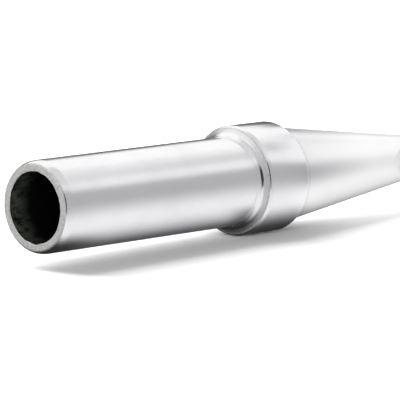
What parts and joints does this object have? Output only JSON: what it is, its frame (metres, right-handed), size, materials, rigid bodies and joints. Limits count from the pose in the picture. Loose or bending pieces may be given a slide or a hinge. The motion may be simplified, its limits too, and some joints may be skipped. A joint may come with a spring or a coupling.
{
  "type": "chisel soldering tip",
  "caption": "Plated slip-over soldering tip: a hollow shank for a round heater, a retaining collar and a tapered nose that ends in a chisel.",
  "frame": {"origin": "centre of the open mouth of the heater bore, on the mouth's face", "axes": "+Z along the tip's axis from the mouth to the chisel edge; the chisel edge runs along Y and its two flats face +X and -X"},
  "size_m": [0.008, 0.008, 0.0395],
  "materials": {
    "plated_metal": "satin bright plating over a copper core, fine turning lines, tinned chisel end"
  },
  "bodies": {
    "root": {"soldering_tip": "plated_metal"}
  },
  "joints": []
}
